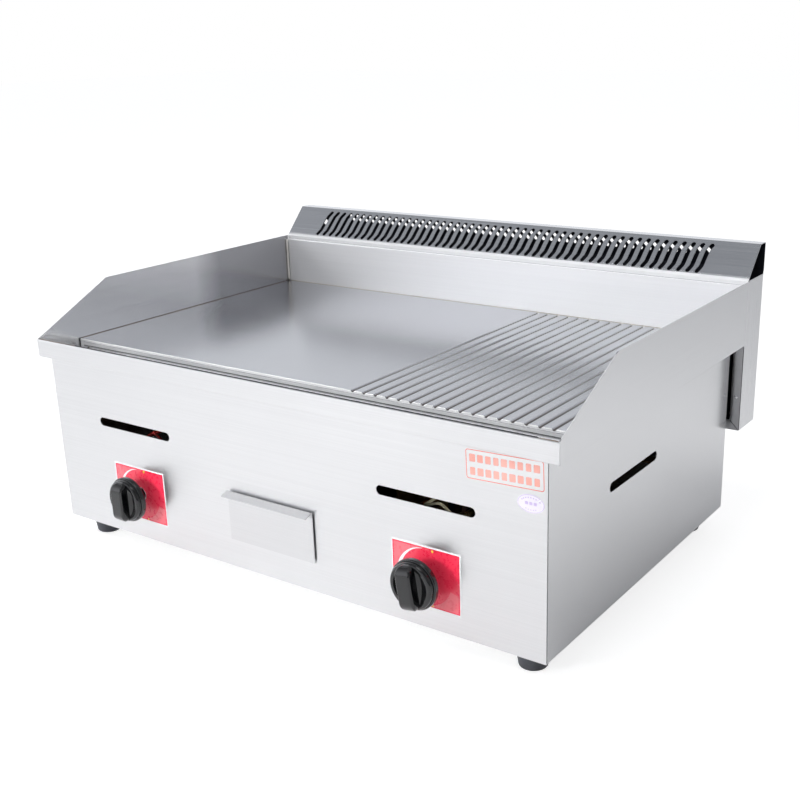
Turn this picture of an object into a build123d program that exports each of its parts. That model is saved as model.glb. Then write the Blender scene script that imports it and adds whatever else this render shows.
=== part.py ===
"""Countertop gas griddle with a half smooth, half ribbed plate, as separate pieces.

Millimetres. +X is the griddle's right seen from the front, +Y goes to the back and +Z is up. The origin is
on the surface that the feet stand on, under the middle of the griddle's outer box.
"""

from build123d import *
import os

os.makedirs("parts", exist_ok=True)

# Driving dimensions
RIM_W = 730.0  # width over the rim and the splash guards
BODY_W = 700.0  # width of the casing below the rim
KNOB_REACH = 33.0  # knob fronts stand this far ahead of the rim
DUCT_BACK = 525.0  # rim front to the back of the flue duct
FOOT_H = 25.0
BODY_H = 211.2  # casing, from its base to the underside of the rim
RIM_H = 22.2
HEM_H = 8.0  # height of the hem along the rim's top
RIM_RETURN = 5.0  # the rim's lower fold reaches this far behind the front panel's face
SHEET = 1.2  # stainless sheet
GAP = 0.3  # fit between neighbouring sheets
TROUGH_D = 24.0  # the trough's floor lies this far below the rim's return

# Heights
BODY_Z = FOOT_H
RIM_Z = BODY_Z + BODY_H
TOP_Z = RIM_Z + RIM_H
PLATE_T = 8.0
PLATE_Z = RIM_Z + SHEET  # underside of the plate, on its flanges
PLATE_TOP = PLATE_Z + PLATE_T

# Depths
RIM_Y = KNOB_REACH - (KNOB_REACH + DUCT_BACK) / 2
PANEL_Y = RIM_Y + 6.5
REAR_Y = RIM_Y + 461.0
PLATE_FRONT = RIM_Y + 62.0
PLATE_REAR = RIM_Y + 466.5
SPLASH_Y = RIM_Y + 469.0
DUCT_Y = RIM_Y + 471.3
DUCT_REAR = RIM_Y + DUCT_BACK
HALF_RIM = RIM_W / 2
HALF_BODY = BODY_W / 2

# Splash guards
GUARD_RISE = 56.5
KNEE_Y = RIM_Y + 116.0
GUARD_REAR = RIM_Y + 471.0
KNEE_R = 7.0
BEND = 1.8  # outside radius of a sheet bend
SHELF_BEND = 3.0  # inside radius of the shelf's soft bend under the plate's front edge

# Griddle plate
PLATE_HALF = HALF_RIM - SHEET - 2.0
GROOVES = 18
GROOVE_X = 80.5
GROOVE_PITCH = 15.3
GROOVE_W = 5.6
GROOVE_D = 2.2
GROOVE_LEAN = 1.6  # each wall of a groove leans in by this much

# Panel slots
SLOT_L = 120.0
SLOT_H = 10.6
SLOT_X = 211.0
SLOT_Z = TOP_Z - 92.0
SIDE_SLOT_L = 115.0
SIDE_SLOT_Y = RIM_Y + 194.0
SIDE_SLOT_Z = TOP_Z - 95.0

# Flue
DUCT_HALF = 363.3
DUCT_LOW = TOP_Z - 132.2
DUCT_TOP = TOP_Z + 56.7
FLANGE = 12.5
LIP_H = 4.8
COVER_TOP = TOP_Z + 95.6
COVER_FLAT = 16.6
LOUVRES = 51
LOUVRE_X = -307.4
LOUVRE_PITCH = 12.08
LOUVRE_W = 5.8
REAR_LOUVRES = 48
REAR_LOUVRE_X = -275.5
REAR_LOUVRE_Z = TOP_Z + 79.8
REAR_LOUVRE_L = 16.5
REAR_LOUVRE_W = 4.6
REAR_HOLE_X = 331.0
REAR_HOLE_Z = TOP_Z + 71.5
REAR_HOLE_R = 4.5

# Controls
CONTROL_X = 210.6
CONTROL_Z = TOP_Z - 175.0
LABEL_W = 85.0
LABEL_H = 69.0
LABEL_T = 0.3
NOTICE_X = 303.8  # sticker under the rim's right end
NOTICE_Z = TOP_Z - 40.1
NOTICE_W = 86.5
NOTICE_H = 31.0
NOTICE_TILT = 2.0
OVAL_X = 332.5
OVAL_Z = TOP_Z - 68.1
OVAL_W = 29.0
OVAL_H = 18.6
STEM_R = 4.0
KNOB_FRONT = RIM_Y - KNOB_REACH
SKIRT_R = 27.6
SKIRT_Y = RIM_Y - 17.1
SKIRT_T = 6.5
BASE_R = 25.6
BASE_FRONT = RIM_Y - 22.5
BAR_W = 18.0
BAR_L = 49.0
BAR_END_R = 11.0
BAR_CORNER_R = 7.0
HOLLOW_R = 20.8  # the shoulder's hollows reach this far from the knob's axis
HOLLOW_D = 4.5
HOLLOW_TAPER = 38.0
RIGHT_KNOB_TURN = 8.5  # degrees that the right knob stands turned at rest
TURN_FIT = 0.06  # radial running clearance

# Grease drawer
DRAWER_X = 2.0
DRAWER_W = 124.0
DRAWER_H = 60.0
DRAWER_TOP = TOP_Z - 137.5
DRAWER_L = 262.0
TRAY_W = 112.0
TRAY_H = 46.0
TRAY_TOP = DRAWER_TOP - 6.0

# Burners
BURNER_Z = 122.0
BURNER_R = 15.0
BURNER_WALL = 1.5
LEG_OFFSET = 60.0
LEG_Y0 = RIM_Y + 120.0
LEG_Y1 = RIM_Y + 402.0
CROSS_Y = RIM_Y + 245.0
MIXER_R = 12.0
MIXER_Y = RIM_Y + 92.0
PORT_R = 1.5
PORT_PITCH = 11.0
MANIFOLD_R = 9.0
MANIFOLD_Y = PANEL_Y + 46.0
MANIFOLD_Z = 54.0
INLET_X = -318.0

# Feet
FOOT_X = 318.0
FOOT_FRONT = RIM_Y + 38.0
FOOT_BACK = RIM_Y + 429.0
FOOT_R_TOP = 18.4
FOOT_R_LOW = 15.0

SIDES = {"left": -1, "right": 1}


def save(shape, node):
    """Write one node's solids to its own file."""
    export_step(shape, f"parts/{node}.step")


def block(x, y, z):
    """A box between low and high values on each axis."""
    size = [high - low for low, high in (x, y, z)]
    middle = [(high + low) / 2 for low, high in (x, y, z)]
    return Pos(*middle) * Box(*size)


def rod(radius, length, at, axis="y"):
    """A cylinder that starts at a point and runs along +axis."""
    turn = {"x": Rot(0, 90, 0), "y": Rot(-90, 0, 0), "z": Rot(0, 0, 0)}[axis]
    return Pos(*at) * turn * Cylinder(radius, length, align=(Align.CENTER, Align.CENTER, Align.MIN))


def folded(points, x, radius=BEND, thickness=SHEET, side=Side.LEFT):
    """A bent sheet: a line of (y, z) points on one skin, thickened and run from low x to high x."""
    line = FilletPolyline(*points, radius=radius) if len(points) > 2 else Line(*points)
    section = make_face(offset(line, amount=thickness, side=side).edges())
    plane = Plane(origin=(x[0], 0, 0), x_dir=(0, 1, 0), z_dir=(1, 0, 0))
    return extrude(plane * section, x[1] - x[0])


def obround(length, height, depth, centre, normal):
    """A round-ended cutter through a panel, with its length level."""
    if normal == "y":
        plane = Plane(origin=centre, x_dir=(1, 0, 0), z_dir=(0, -1, 0))
    else:
        plane = Plane(origin=centre, x_dir=(0, 1, 0), z_dir=(1, 0, 0))
    return extrude(plane * SlotOverall(length, height), depth / 2, both=True)


def tube(points, radius, bend):
    """A round bar along straight runs joined by tangent arcs."""
    path = FilletPolyline(*points, radius=bend)
    start = Plane(origin=path @ 0, z_dir=path % 0)
    return sweep(start * Circle(radius), path=path)


def hexagon(across, length, at, axis="y"):
    """A hexagonal nut or head that starts at a point and runs along +axis."""
    turn = {"y": Rot(-90, 0, 0), "z": Rot(0, 0, 0)}[axis]
    return Pos(*at) * turn * extrude(RegularPolygon(across / 2, 6, major_radius=False), length)


# Casing


def front_panel():
    low = BODY_Z + SHEET + GAP
    skin = block((-HALF_BODY, HALF_BODY), (PANEL_Y, PANEL_Y + SHEET), (BODY_Z, RIM_Z - GAP))
    foot = block((-HALF_BODY + 40, HALF_BODY - 40), (PANEL_Y + SHEET, PANEL_Y + 16), (low, low + SHEET))
    panel = skin + foot
    for x in (-SLOT_X, SLOT_X):
        panel -= obround(SLOT_L, SLOT_H, 10, (x, PANEL_Y, SLOT_Z), "y")
    for x in (-CONTROL_X, CONTROL_X):
        panel -= rod(STEM_R + 3, 10, (x, PANEL_Y - 5, CONTROL_Z))
    hole_x = (DRAWER_X - TRAY_W / 2 - 2, DRAWER_X + TRAY_W / 2 + 2)
    panel -= block(hole_x, (PANEL_Y - 5, PANEL_Y + 5), (TRAY_TOP - TRAY_H - 2, TRAY_TOP + 2))
    return panel


def side_panel(side):
    inner = HALF_BODY - SHEET
    front = PANEL_Y + SHEET + GAP
    low = BODY_Z + SHEET + GAP
    skin = block((inner, HALF_BODY), (front, REAR_Y), (BODY_Z, RIM_Z - GAP))
    foot = block((inner - 14, inner), (front + 20, REAR_Y - 20), (low, low + SHEET))
    front_tab = block((inner - 14, inner), (front, front + SHEET), (BODY_Z + 20, RIM_Z - 30))
    panel = skin + foot + front_tab
    panel -= obround(SIDE_SLOT_L, SLOT_H, 10, (HALF_BODY, SIDE_SLOT_Y, SIDE_SLOT_Z), "x")
    return panel if side > 0 else mirror(panel, Plane.YZ)


def rear_panel():
    edge = HALF_BODY - SHEET - GAP
    low = BODY_Z + SHEET + GAP
    skin = block((-edge, edge), (REAR_Y - SHEET, REAR_Y), (BODY_Z, RIM_Z))
    shelf = block((-edge, edge), (REAR_Y - 18, REAR_Y), (RIM_Z, RIM_Z + SHEET))
    foot = block((-edge + 40, edge - 40), (REAR_Y - 16, REAR_Y - SHEET), (low, low + SHEET))
    panel = skin + shelf + foot
    for middle in EXHAUST_X:
        window = (middle - EXHAUST_W / 2, middle + EXHAUST_W / 2)
        panel -= block(window, (REAR_Y - 5, REAR_Y + 5), (EXHAUST_Z, EXHAUST_Z + EXHAUST_H))
    panel -= rod(12.5, 10, (INLET_X, REAR_Y - 5, MANIFOLD_Z))
    for x in SPACER_X:
        panel -= rod(2.6, 10, (x, REAR_Y - 5, DUCT_LOW + FLANGE / 2))
    return panel


def base_panel():
    edge = HALF_BODY - SHEET - GAP
    front = PANEL_Y + SHEET + GAP
    panel = block((-edge, edge), (front, REAR_Y - SHEET - GAP), (BODY_Z, BODY_Z + SHEET))
    for x in (-250, -170, 170, 250):
        for row in range(5):
            y = RIM_Y + 140 + 60 * row
            vent = Plane(origin=(x, y, BODY_Z)) * SlotOverall(60, 8)
            panel -= extrude(vent, 5, both=True)
    for x, y in FOOT_PLACES.values():
        panel -= rod(3.1, 10, (x, y, BODY_Z - 5), "z")
    return panel


def front_rim():
    """The rim's face with a closed hem along its top and a return under it, over the front panel."""
    points = [(RIM_Y, TOP_Z - HEM_H / 2), (RIM_Y, RIM_Z), (PANEL_Y + RIM_RETURN, RIM_Z)]
    rim = folded(points, (-HALF_RIM, HALF_RIM), radius=1.5)
    hem = block((-HALF_RIM, HALF_RIM), (RIM_Y, RIM_Y + 2 * SHEET), (TOP_Z - HEM_H, TOP_Z))
    rim += fillet(hem.edges().filter_by(Axis.X).group_by(Axis.Z)[-1], SHEET - 0.05)
    for side in SIDES.values():
        edge = sorted((side * (HALF_RIM - SHEET - 0.1), side * (HALF_RIM + 1)))
        rim -= block(edge, (RIM_Y + SHEET + 0.05, RIM_Y + 30), (RIM_Z - 1, TOP_Z + 1))
    return rim


def grease_trough():
    """The channel between the rim and the plate, with a hole over the spout."""
    floor = RIM_Z - TROUGH_D
    points = [
        (TROUGH_FRONT, RIM_Z - GAP),
        (TROUGH_FRONT, floor - SHEET),
        (SHELF_Y + SHEET, floor - SHEET),
        (SHELF_Y + SHEET, TROUGH_TOP),
    ]
    trough = folded(points, (-TROUGH_HALF, TROUGH_HALF))
    return trough - rod(SPOUT_R, 10, (DRAWER_X, SPOUT_Y, floor - 5), "z")


def trough_ends():
    """The two end walls that close the trough, set between its front and back walls."""
    depth = (TROUGH_FRONT + SHEET, SHELF_Y)
    height = (RIM_Z - TROUGH_D, TROUGH_TOP)
    left = block((-TROUGH_HALF, -TROUGH_HALF + SHEET), depth, height)
    right = block((TROUGH_HALF - SHEET, TROUGH_HALF), depth, height)
    return Compound(children=[left, right])


def plate_shelf():
    """The angle that carries the plate's front edge and laps over the trough's back wall."""
    points = [(SHELF_Y, PLATE_Z - 14), (SHELF_Y, PLATE_Z - SHEET), (PLATE_FRONT + 24, PLATE_Z - SHEET)]
    edge = TROUGH_HALF - SHEET - GAP
    return folded(points, (-edge, edge), radius=SHELF_BEND)


def drain_spout():
    top = RIM_Z - TROUGH_D
    pipe = rod(SPOUT_R, top - SPOUT_LOW, (DRAWER_X, SPOUT_Y, SPOUT_LOW), "z")
    collar = rod(SPOUT_R + 4, 2, (DRAWER_X, SPOUT_Y, top - SHEET - 2), "z")
    return pipe + collar - rod(SPOUT_R - 1.5, 100, (DRAWER_X, SPOUT_Y, SPOUT_LOW - 5), "z")


def guard(side):
    """A splash guard with its skirt and a shelf under the plate's edge."""
    front = RIM_Y + SHEET + 0.1
    rise_from = TOP_Z + (front - RIM_Y) * GUARD_RISE / (KNEE_Y - RIM_Y)
    outline = Polyline(
        (front, RIM_Z),
        (front, rise_from),
        (KNEE_Y, TOP_Z + GUARD_RISE),
        (GUARD_REAR, TOP_Z + GUARD_RISE),
        (GUARD_REAR, RIM_Z),
        close=True,
    )
    face = make_face(outline)
    knee = face.vertices().sort_by_distance((KNEE_Y, TOP_Z + GUARD_RISE, 0))[0]
    face = fillet(knee, KNEE_R)
    plane = Plane(origin=(HALF_RIM - SHEET, 0, 0), x_dir=(0, 1, 0), z_dir=(1, 0, 0))
    sheet = extrude(plane * face, SHEET)
    shelf_y = (PANEL_Y + RIM_RETURN + 4, GUARD_REAR)
    sheet += block((HALF_BODY - 1, HALF_RIM - SHEET), shelf_y, (RIM_Z, RIM_Z + SHEET))
    shelf_edge = sheet.edges().filter_by(Axis.Y).sort_by_distance((HALF_RIM, 0, RIM_Z))[0]
    sheet = fillet(shelf_edge, 1.1)
    return sheet if side > 0 else mirror(sheet, Plane.YZ)


def backsplash():
    """The upright sheet behind the plate, with a ledge under the plate and a fold under the cover's lip."""
    top = DUCT_TOP - LIP_H - 0.2
    ledge = RIM_Z + SHEET
    points = [(REAR_Y + GAP, ledge), (SPLASH_Y, ledge), (SPLASH_Y, top), (DUCT_Y - GAP, top)]
    edge = HALF_RIM - SHEET - GAP
    sheet = folded(points, (-edge, edge), side=Side.RIGHT)
    for side in SIDES.values():
        beside_shelf = sorted((side * (HALF_BODY - 1 - GAP), side * HALF_RIM))
        sheet -= block(beside_shelf, (REAR_Y, DUCT_Y), (RIM_Z - 1, ledge + GAP))
    return sheet


# Cooking plate


def griddle_plate():
    plate = block((-PLATE_HALF, PLATE_HALF), (PLATE_FRONT, PLATE_REAR), (PLATE_Z, PLATE_TOP))
    edges = plate.edges().filter_by(Axis.X).group_by(Axis.Z)[-1]
    plate = chamfer(edges, 0.8)
    half = GROOVE_W / 2
    notch = make_face(
        Polyline(
            (-half - 0.3, 0.3),
            (half + 0.3, 0.3),
            (half, 0),
            (half - GROOVE_LEAN, -GROOVE_D),
            (-half + GROOVE_LEAN, -GROOVE_D),
            (-half, 0),
            close=True,
        )
    )
    for i in range(GROOVES):
        x = GROOVE_X + GROOVE_PITCH * i
        start = Plane(origin=(x, PLATE_FRONT - 5, PLATE_TOP), x_dir=(1, 0, 0), z_dir=(0, -1, 0))
        plate -= extrude(start * notch, -(PLATE_REAR - PLATE_FRONT + 10))
    return plate


def centre_beam():
    """An upturned channel under the middle of the plate."""
    front = PLATE_FRONT + 30
    rear = REAR_Y - 26
    body = block((-20, 20), (front, rear), (PLATE_Z - 24, PLATE_Z))
    body -= block((-20 + 2, 20 - 2), (front - 1, rear + 1), (PLATE_Z - 25, PLATE_Z - 2))
    tabs = block((-20, 20), (PLATE_FRONT + 6, front), (PLATE_Z - SHEET - 2, PLATE_Z - SHEET))
    tabs += block((-20, 20), (rear, REAR_Y - SHEET), (PLATE_Z - SHEET - 2, PLATE_Z - SHEET))
    return body + tabs


# Flue


def flue_duct():
    """A pan behind the casing, open at the top, with a flange round its open front."""
    outer = block((-DUCT_HALF, DUCT_HALF), (DUCT_Y, DUCT_REAR), (DUCT_LOW, DUCT_TOP))
    outer = fillet(outer.edges().filter_by(Axis.Z), BEND)
    inner_x = (-DUCT_HALF + SHEET, DUCT_HALF - SHEET)
    inner = block(inner_x, (DUCT_Y + SHEET, DUCT_REAR - SHEET), (DUCT_LOW + SHEET, DUCT_TOP + 1))
    inner = fillet(inner.edges().filter_by(Axis.Z), BEND - SHEET)
    mouth_x = (-DUCT_HALF + FLANGE, DUCT_HALF - FLANGE)
    mouth = block(mouth_x, (DUCT_Y - 1, DUCT_Y + SHEET + 1), (DUCT_LOW + FLANGE, DUCT_TOP + 1))
    lip_z = (DUCT_TOP - LIP_H - 0.2, DUCT_TOP + 1)
    lip_room = block((-DUCT_HALF - 1, DUCT_HALF + 1), (DUCT_Y - 1, DUCT_Y + 4), lip_z)
    duct = outer - inner - mouth - lip_room
    for x in SPACER_X:
        duct -= rod(2.6, 10, (x, DUCT_Y - 5, DUCT_LOW + FLANGE / 2))
    return duct


def louvre(length):
    """The outline of one louvre: a straight slot whose two ends hook opposite ways."""
    hook = 7.0
    lean = 1.4
    line = FilletPolyline(
        (-hook / 2 - lean / 2 + 0.2, 0),
        (-lean / 2, hook),
        (lean / 2, length - hook),
        (hook / 2 + lean / 2 - 0.2, length),
        radius=9,
    )
    return make_face(offset(line, amount=LOUVRE_W / 2, side=Side.BOTH).edges())


def flue_cover():
    """One sheet: front lip, slanted face, flat top and a back that laps inside the duct."""
    slant_top = (DUCT_REAR - COVER_FLAT, COVER_TOP)
    points = [
        (DUCT_Y - 0.1, DUCT_TOP - LIP_H),
        (DUCT_Y - 0.1, DUCT_TOP),
        slant_top,
        (DUCT_REAR, COVER_TOP),
        (DUCT_REAR, DUCT_TOP + 5),
        (DUCT_REAR - SHEET - 0.1, DUCT_TOP + 2.5),
        (DUCT_REAR - SHEET - 0.1, DUCT_TOP - 10),
    ]
    cover = folded(points, (-DUCT_HALF, DUCT_HALF), radius=1.3, side=Side.RIGHT)
    for side in SIDES.values():
        edge = sorted((side * (DUCT_HALF - SHEET - 0.2), side * (DUCT_HALF + 1)))
        cover -= block(edge, (DUCT_Y + 6, DUCT_REAR + 1), (DUCT_LOW, DUCT_TOP + 0.1))
    rise = Vector(0, slant_top[0] - DUCT_Y, COVER_TOP - DUCT_TOP)
    slant = Plane(origin=(0, DUCT_Y, DUCT_TOP), x_dir=(1, 0, 0), z_dir=(0, -rise.Z, rise.Y))
    back = Plane(origin=(0, DUCT_REAR, REAR_LOUVRE_Z), x_dir=(1, 0, 0), z_dir=(0, 1, 0))
    front_cut = extrude(slant * Pos(3.5, 7.6) * louvre(LOUVRE_FRONT), 4, both=True)
    back_cut = extrude(back * Rot(0, 0, 45) * SlotOverall(REAR_LOUVRE_L, REAR_LOUVRE_W), 4, both=True)
    cuts = [rod(REAR_HOLE_R, 8, (x, DUCT_REAR - 4, REAR_HOLE_Z)) for x in (-REAR_HOLE_X, REAR_HOLE_X)]
    for i in range(LOUVRES):
        cuts.append(Pos(LOUVRE_X + LOUVRE_PITCH * i, 0, 0) * front_cut)
    for i in range(REAR_LOUVRES):
        cuts.append(Pos(REAR_LOUVRE_X + LOUVRE_PITCH * i, 0, 0) * back_cut)
    return cover.cut(*cuts)


def flue_screws():
    """Spacers that hold the duct's lower flange off the rear panel, each on a hexagon screw."""
    group = []
    z = DUCT_LOW + FLANGE / 2
    for x in SPACER_X:
        spacer = rod(5, DUCT_Y - REAR_Y, (x, REAR_Y, z))
        shank = rod(2.5, DUCT_Y - REAR_Y + 2 * SHEET + 1, (x, REAR_Y - SHEET - 1, z))
        head = hexagon(8, 3.5, (x, DUCT_Y + SHEET, z))
        nut = hexagon(8, 3.5, (x, REAR_Y - SHEET - 3.5, z))
        group.append(spacer + shank + head + nut)
    return Compound(group)


# Gas and fire


def burner(side):
    """An H of steel tube with flame ports along the two legs and a mixing tube at the front."""
    inner_r = BURNER_R - BURNER_WALL
    solid = rod(BURNER_R, 2 * LEG_OFFSET, (-LEG_OFFSET, CROSS_Y, 0), "x")
    hollow = rod(inner_r, 2 * LEG_OFFSET, (-LEG_OFFSET, CROSS_Y, 0), "x")
    for leg in (-LEG_OFFSET, LEG_OFFSET):
        solid += rod(BURNER_R, LEG_Y1 - LEG_Y0, (leg, LEG_Y0, 0))
        hollow += rod(inner_r, LEG_Y1 - LEG_Y0 - 6, (leg, LEG_Y0 + 3, 0))
    solid += rod(MIXER_R, CROSS_Y - MIXER_Y, (0, MIXER_Y, 0))
    hollow += rod(MIXER_R - BURNER_WALL, CROSS_Y - MIXER_Y + 1, (0, MIXER_Y - 1, 0))
    tubes = solid - hollow
    ports = int((LEG_Y1 - LEG_Y0 - 30) / PORT_PITCH)
    cuts = []
    for leg in (-LEG_OFFSET, LEG_OFFSET):
        for i in range(ports + 1):
            cuts.append(rod(PORT_R, BURNER_R + 5, (leg, LEG_Y0 + 15 + PORT_PITCH * i, 0), "z"))
    for turn in (45, 135, 225, 315):
        cuts.append(Pos(0, MIXER_Y + 14, 0) * Rot(0, turn, 0) * Pos(0, 0, MIXER_R) * Box(9, 10, 8))
    return Pos(side * CONTROL_X, 0, BURNER_Z) * tubes.cut(*cuts)


def air_shutter(side):
    """A sleeve round the mixing tube's mouth: turning it opens or covers the four air windows."""
    x = side * CONTROL_X
    centre = (x, MIXER_Y + 5, BURNER_Z)
    sleeve = rod(MIXER_R + TURN_FIT + SHEET, 18, centre)
    sleeve -= rod(MIXER_R + TURN_FIT, 30, (x, MIXER_Y, BURNER_Z))
    tab = Pos(x, MIXER_Y + 14, BURNER_Z) * Rot(0, 90, 0) * Pos(0, 0, MIXER_R + 7) * Box(1.2, 8, 12)
    for turn in (0, 90, 180, 270):
        place = Pos(x, MIXER_Y + 14, BURNER_Z) * Rot(0, turn + 45, 0) * Pos(0, 0, MIXER_R)
        sleeve -= place * Box(9, 10, 8)
    return sleeve + tab


def burner_stand(side):
    """Two upturned channels that carry the burner's legs above the base."""
    x = side * CONTROL_X
    group = []
    low = BODY_Z + SHEET
    top = BURNER_Z - BURNER_R
    for y in (LEG_Y0 + 30, LEG_Y1 - 40):
        bar = block((x - 84, x + 84), (y, y + 20), (top - 2, top))
        for edge in (x - 84, x + 82):
            bar += block((edge, edge + 2), (y, y + 20), (low, top))
        bar += block((x - 84, x - 70), (y, y + 20), (low, low + 2))
        bar += block((x + 70, x + 84), (y, y + 20), (low, low + 2))
        group.append(bar)
    return Compound(group)


def heat_shield(side):
    """An upright sheet that keeps the burner's heat off the grease drawer."""
    x = side * SHIELD_X
    y = (LEG_Y0 - 14, LEG_Y1 + 20)
    low = BODY_Z + SHEET
    wall = block((x - SHEET / 2, x + SHEET / 2), y, (low, SHIELD_TOP))
    foot = (x, x + 14) if side > 0 else (x - 14, x)
    return wall + block(foot, y, (low, low + SHEET))


def gas_manifold():
    """The supply pipe: across behind the front panel, then along the left wall and out at the back."""
    start = (CONTROL_X + 26, MANIFOLD_Y, MANIFOLD_Z)
    corner = (INLET_X, MANIFOLD_Y, MANIFOLD_Z)
    end = (INLET_X, REAR_Y + 8, MANIFOLD_Z)
    return tube([start, corner, end], MANIFOLD_R, 30)


def inlet_union():
    """The hexagon and the plain-ended threaded stub that the gas hose is joined to."""
    nut = hexagon(27, 12, (INLET_X, REAR_Y + 8, MANIFOLD_Z))
    stub = rod(INLET_R, INLET_L, (INLET_X, REAR_Y + 20, MANIFOLD_Z))
    return nut + stub - rod(6, 100, (INLET_X, REAR_Y + 12, MANIFOLD_Z))


def gas_valve(side):
    """A die-cast body on the manifold, with a tapped riser to the injector."""
    x = side * CONTROL_X
    front = PANEL_Y + 8
    back = MANIFOLD_Y + 10
    body = rod(14, back - front, (x, front, CONTROL_Z))
    body += block((x - 11, x + 11), (front + 4, back), (CONTROL_Z - 12, CONTROL_Z + 16))
    body += block((x - 9, x + 9), (MANIFOLD_Y - 10, back), (MANIFOLD_Z + 4, CONTROL_Z))
    body += rod(7, BURNER_Z - CONTROL_Z + 7, (x, MANIFOLD_Y, CONTROL_Z), "z")
    body += rod(6, 16, (x, MANIFOLD_Y, BURNER_Z))
    body += rod(4, 8, (x - 18, MANIFOLD_Y - 12, CONTROL_Z + 6), "x")
    body += rod(4, 8, (x + 10, MANIFOLD_Y - 12, CONTROL_Z + 6), "x")
    body -= rod(MANIFOLD_R, 60, (x - 30, MANIFOLD_Y, MANIFOLD_Z), "x")
    body -= rod(PLUG_R + TURN_FIT, back - front - 6, (x, front - 1, CONTROL_Z))
    return body


def injector(side):
    x = side * CONTROL_X
    start = MANIFOLD_Y + 16
    jet = hexagon(11, 9, (x, start, BURNER_Z)) + rod(4, MIXER_Y + 4 - start, (x, start, BURNER_Z))
    return jet - rod(0.6, 60, (x, start - 1, BURNER_Z))


def valve_plug(side):
    """The turning plug inside the valve. The stem slides in its flat-sided socket."""
    x = side * CONTROL_X
    front = PANEL_Y + 9
    plug = rod(PLUG_R, 34, (x, front, CONTROL_Z))
    return plug - stem_bar(x, front - 1, front + 26, TURN_FIT)


def stem_bar(x, front, back, fit=0.0):
    """A round bar with one flat on top."""
    bar = rod(STEM_R + fit, back - front, (x, front, CONTROL_Z))
    flat = CONTROL_Z + STEM_R - 1.5 + fit
    return bar - block((x - 10, x + 10), (front - 1, back + 1), (flat, flat + 10))


def stem(side):
    x = side * CONTROL_X
    return stem_bar(x, KNOB_FRONT + 9, PANEL_Y + 9 + 20)


def knob(side):
    """A skirt disc, a shoulder with a creased hollow each side, and the grip bar standing across them."""
    skirt = rod(SKIRT_R, SKIRT_T, (0, SKIRT_Y, 0))
    skirt = fillet(skirt.edges().filter_by(GeomType.CIRCLE), 1.6)
    shoulder = rod(BASE_R, SKIRT_Y - BASE_FRONT + 2, (0, BASE_FRONT, 0))
    shoulder = fillet(shoulder.edges().group_by(Axis.Y)[0], 3.0)
    front = Plane(origin=(0, BASE_FRONT - 0.5, 0), x_dir=(1, 0, 0), z_dir=(0, -1, 0))
    for across in (-1, 1):
        beside_bar = Pos(across * (BAR_W / 2 + HOLLOW_R), 0) * Rectangle(2 * HOLLOW_R, 4 * HOLLOW_R)
        hollow = Circle(HOLLOW_R) & beside_bar
        shoulder -= extrude(front * hollow, -HOLLOW_D, taper=HOLLOW_TAPER)
    outline = Plane.YZ * Pos((KNOB_FRONT + SKIRT_Y + 2) / 2, 0) * Rectangle(SKIRT_Y + 2 - KNOB_FRONT, BAR_L)
    outline = fillet(outline.vertices().group_by(Axis.Y)[0], BAR_END_R)
    bar = extrude(outline, BAR_W / 2, both=True)
    bar &= extrude(Plane.XZ * RectangleRounded(BAR_W, BAR_L, BAR_CORNER_R), 400, both=True)
    rim = bar.edges() - bar.edges().group_by(Axis.Y)[-1] - bar.edges().filter_by(Axis.Y)
    bar = fillet(rim, 2.0)
    hub = rod(9, 3, (0, SKIRT_Y + SKIRT_T - 1, 0))
    whole = skirt + shoulder + bar + hub
    turn = -RIGHT_KNOB_TURN if side > 0 else 0
    placed = Pos(side * CONTROL_X, 0, CONTROL_Z) * Rot(0, turn, 0) * whole
    return placed - stem_bar(side * CONTROL_X, KNOB_FRONT + 9, PANEL_Y + 20)


def pilot_tube(side):
    """A thin copper tube from the valve's side port up to the burner's inner leg."""
    x = side * CONTROL_X
    port = (x - 18, MANIFOLD_Y - 12, CONTROL_Z + 6)
    points = [
        port,
        (x - 36, port[1], port[2]),
        (x - 44, port[1] + 10, BURNER_Z + 6),
        (x - 44, LEG_Y0 - 6, BURNER_Z + 22),
    ]
    return tube(points, 2.2, 9)


def electrode(side):
    """A ceramic igniter with a steel tip, on a clip at the front of the burner's inner leg."""
    x = side * CONTROL_X - LEG_OFFSET + 22
    ceramic = rod(3.5, 30, (x, LEG_Y0 - 8, BURNER_Z + 12))
    tip = rod(1.0, 14, (x, LEG_Y0 + 20, BURNER_Z + 12))
    terminal = rod(1.5, 6, (x, LEG_Y0 - 13, BURNER_Z + 12))
    return ceramic + tip + terminal


def ignition_lead(side):
    """The high-tension lead from the valve's switch to the electrode."""
    points = LEAD_ROUTES[side]
    return tube(points, 1.6, LEAD_BEND)


# Labels


def control_label(side):
    x = side * CONTROL_X
    z = CONTROL_Z - 0.5
    wide = (x - LABEL_W / 2, x + LABEL_W / 2)
    label = block(wide, (PANEL_Y - LABEL_T, PANEL_Y), (z - LABEL_H / 2, z + LABEL_H / 2))
    return label - rod(STEM_R + 4, 10, (x, PANEL_Y - 5, CONTROL_Z))


def warning_sticker():
    """A film stuck on a little crooked."""
    plane = Plane(origin=(NOTICE_X, PANEL_Y, NOTICE_Z), x_dir=(1, 0, 0), z_dir=(0, -1, 0))
    return extrude(plane * Rot(0, 0, NOTICE_TILT) * RectangleRounded(NOTICE_W, NOTICE_H, 2.5), 0.2)


def oval_sticker():
    plane = Plane(origin=(OVAL_X, PANEL_Y, OVAL_Z), x_dir=(1, 0, 0), z_dir=(0, -1, 0))
    return extrude(plane * Ellipse(OVAL_W / 2, OVAL_H / 2), 0.2)


# Grease drawer


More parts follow.
